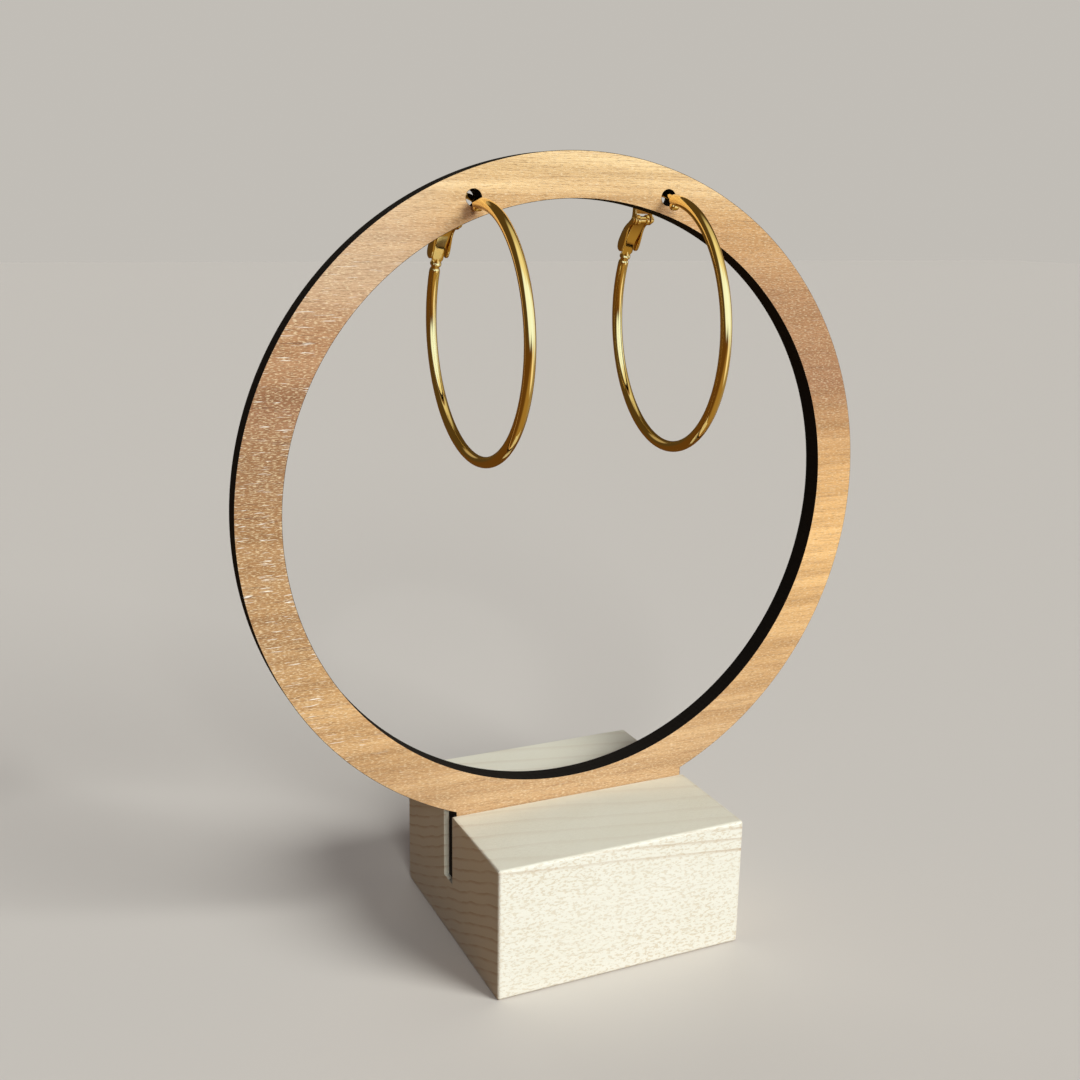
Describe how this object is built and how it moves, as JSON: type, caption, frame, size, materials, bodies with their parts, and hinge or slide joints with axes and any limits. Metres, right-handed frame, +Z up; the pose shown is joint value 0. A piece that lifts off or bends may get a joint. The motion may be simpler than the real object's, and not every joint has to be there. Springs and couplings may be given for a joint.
{
  "type": "pair of hoop earrings on a ring stand",
  "caption": "Round-tube hoop earrings with hinged lever clasps, hung by their ear posts through holes in an upright wooden ring that stands in a slotted block.",
  "frame": {"origin": "middle of the base block's underside", "axes": "+Z up, +X along the ring to the right as seen from the front, -Y towards the front, where the hoops' tube ends are"},
  "size_m": [0.1, 0.0396, 0.1172],
  "materials": {
    "gold": "mirror-polished yellow gold",
    "cherry_veneer": "satin cherry veneer faces with charred, near-black cut edges",
    "maple": "sanded pale maple with a satin oil finish"
  },
  "bodies": {
    "stand_and_hoops": {"base_block": "maple", "ring_frame": "cherry_veneer", "left_hoop": "gold", "left_rivet": "gold", "right_hoop": "gold", "right_rivet": "gold"},
    "left_lever": {"left_lever": "gold"},
    "right_lever": {"right_lever": "gold"}
  },
  "joints": [
    {"name": "left_lever_hinge", "type": "hinge", "parent": "stand_and_hoops", "child": "left_lever", "pos_m": [-0.01652, 0.00863, 0.10693], "axis": [0.9999, 0.0098, 0.0112], "range_deg": [0, 85]},
    {"name": "right_lever_hinge", "type": "hinge", "parent": "stand_and_hoops", "child": "right_lever", "pos_m": [0.0139, 0.00749, 0.10784], "axis": [0.9979, -0.0628, 0.0159], "range_deg": [0, 85]}
  ]
}
